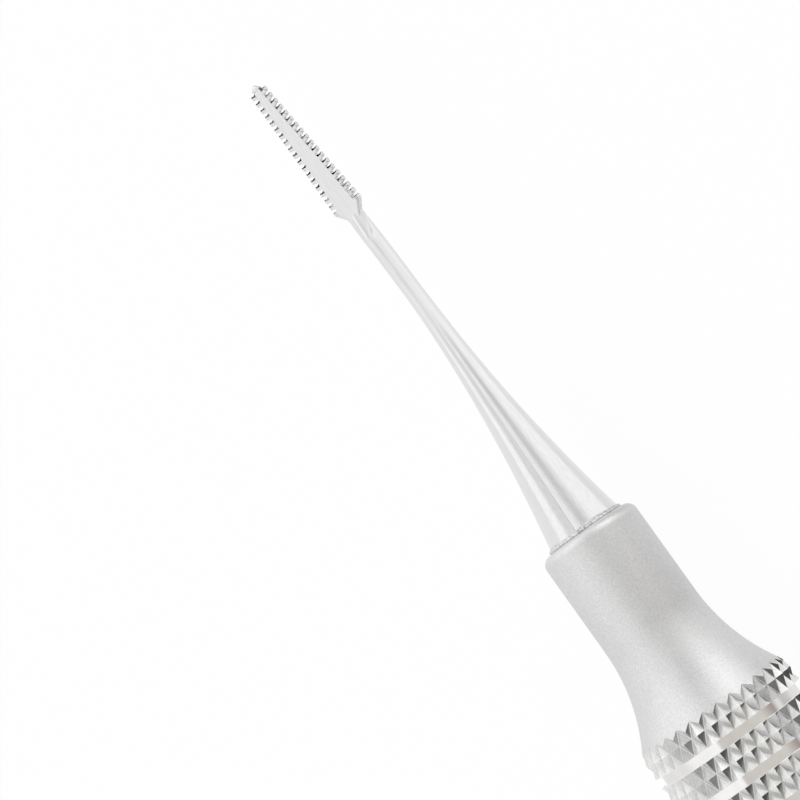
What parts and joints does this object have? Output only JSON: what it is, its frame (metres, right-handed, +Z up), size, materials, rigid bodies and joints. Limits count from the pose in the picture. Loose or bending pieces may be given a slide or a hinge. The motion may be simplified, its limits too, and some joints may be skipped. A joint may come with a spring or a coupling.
{
  "type": "periodontal file",
  "caption": "Double-ended dental file: round knurled handle with grooves, slim ground shanks and thin tapered blades with teeth along both edges.",
  "frame": {"origin": "on the surface that the handle lies on, under the middle of the instrument; the handle's axis is 4.74 mm above it", "axes": "+X along the handle towards one working end, +Z up and square to the flats of both blades"},
  "size_m": [0.1768, 0.0094, 0.0095],
  "materials": {
    "handle": "fine blasted satin, with polished groove floors",
    "file_end": "fine polished"
  },
  "bodies": {
    "root": {"handle": "handle", "file_end_a": "file_end", "file_end_b": "file_end"}
  },
  "joints": []
}
